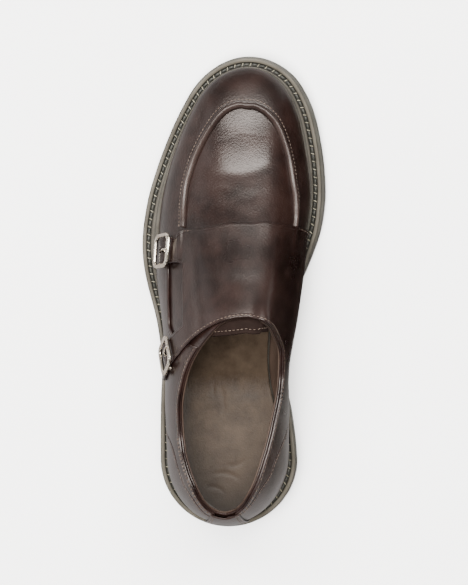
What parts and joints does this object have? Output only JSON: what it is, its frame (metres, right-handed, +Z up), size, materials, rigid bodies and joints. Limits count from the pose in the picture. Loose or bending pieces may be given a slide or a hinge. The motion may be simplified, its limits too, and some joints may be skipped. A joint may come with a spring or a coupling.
{
  "type": "monk strap shoe",
  "caption": "Left leather monk strap shoe with an apron toe, instep straps fastened by buckles on the outer side, welted rubber sole and heel.",
  "frame": {"origin": "on the floor, under the middle of the shoe's outline", "axes": "+Y from the heel to the toe, +X to the inner side of the foot, +Z up"},
  "size_m": [0.119, 0.3024, 0.1052],
  "materials": {
    "sole_rubber": "matt dark grey rubber",
    "heel_rubber": "matt dark grey rubber",
    "midsole_rubber": "grey rubber with fine ribs",
    "welt_rubber": "light grey green, stitched in a dark groove",
    "sock_leather": "taupe brown sock leather, matt",
    "vamp_leather": "polished dark brown leather",
    "tongue_leather": "soft brown leather",
    "seam_leather": "raised polished leather seam",
    "panel_leather": "polished dark brown leather",
    "quarter_leather": "polished dark brown leather",
    "counter_leather": "polished dark brown leather",
    "backstay_leather": "polished dark brown leather",
    "buckle_front_metal": "warm nickel plate",
    "buckle_rear_metal": "warm nickel plate",
    "prong_front_metal": "warm nickel plate",
    "prong_rear_metal": "warm nickel plate"
  },
  "bodies": {
    "root": {"outsole": "sole_rubber", "heel": "heel_rubber", "midsole": "midsole_rubber", "welt": "welt_rubber", "insole": "sock_leather", "upper": "vamp_leather", "tongue": "tongue_leather", "apron_seam": "seam_leather", "strap_panel": "panel_leather", "outer_quarter": "quarter_leather", "counter": "counter_leather", "backstay": "backstay_leather", "buckle_front": "buckle_front_metal", "buckle_rear": "buckle_rear_metal", "prong_front": "prong_front_metal", "prong_rear": "prong_rear_metal"}
  },
  "joints": []
}
